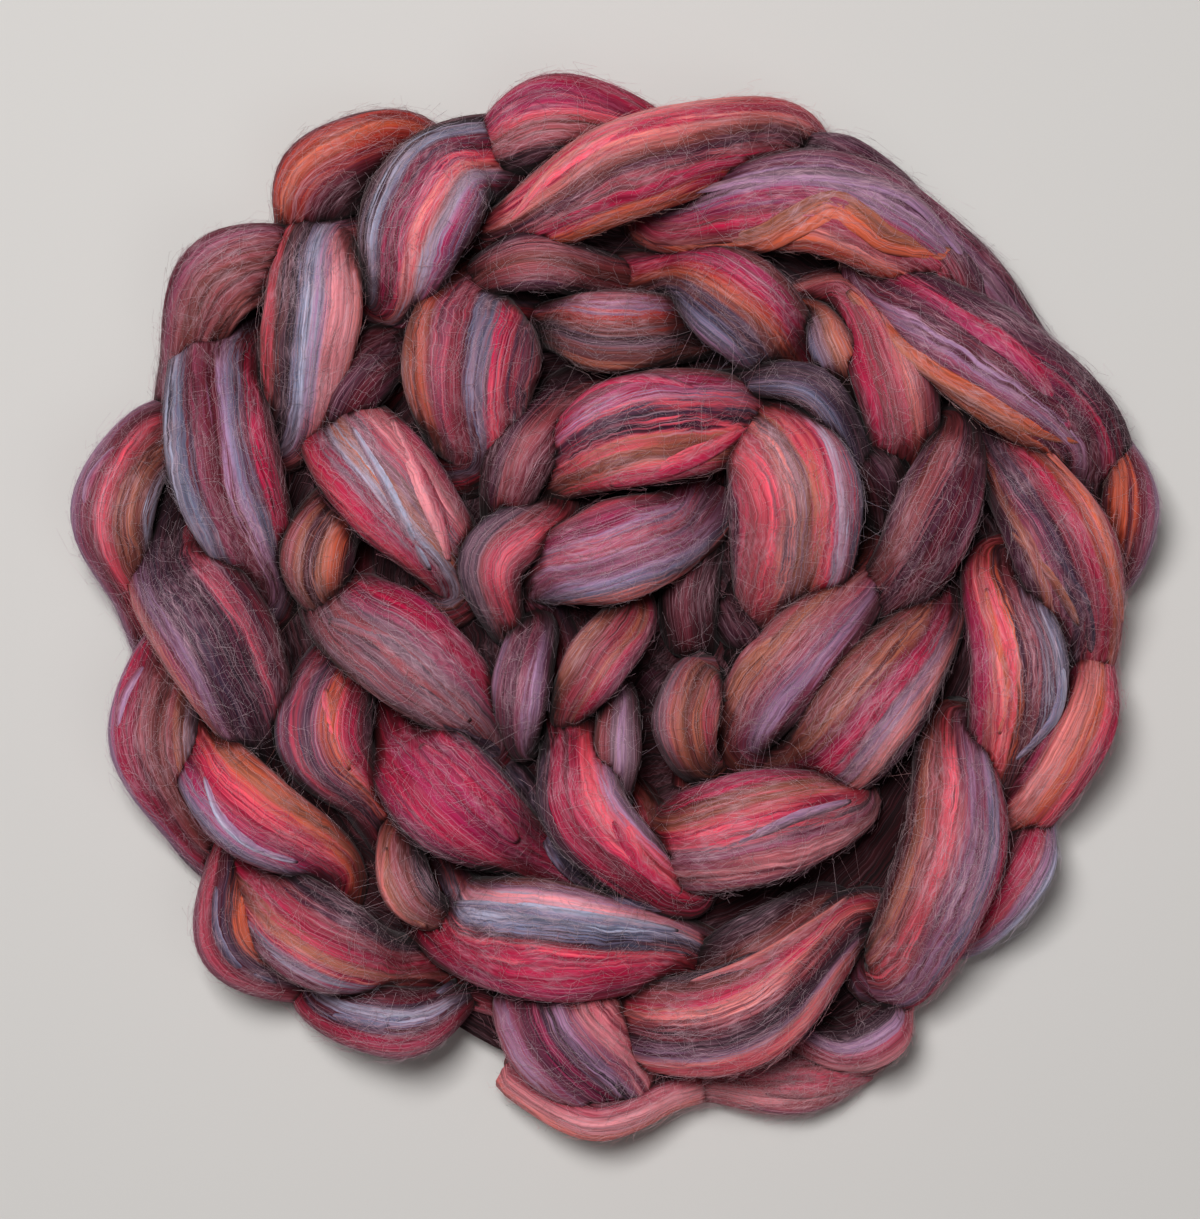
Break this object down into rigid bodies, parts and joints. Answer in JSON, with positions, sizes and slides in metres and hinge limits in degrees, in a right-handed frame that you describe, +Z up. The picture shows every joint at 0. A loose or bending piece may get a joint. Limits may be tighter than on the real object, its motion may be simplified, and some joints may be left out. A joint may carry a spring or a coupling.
{
  "type": "braid of wool roving",
  "caption": "Three-strand braid of striped, multicoloured combed wool roving laid down as a flat round coil.",
  "frame": {"origin": "middle of the coil's outline, on the surface that it rests on", "axes": "+Z up out of the flat coil, along its shortest extent; +X to the right and +Y away from the loose outer end of the braid, which lies at -Y"},
  "size_m": [0.2732, 0.2688, 0.044],
  "materials": {
    "dyed_wool": "soft matt combed wool fibre in stripes of maroon, crimson, coral, tan, lilac-grey, blue-grey and charcoal, with loose fine hairs"
  },
  "bodies": {
    "root": {"braid": "dyed_wool"}
  },
  "joints": []
}
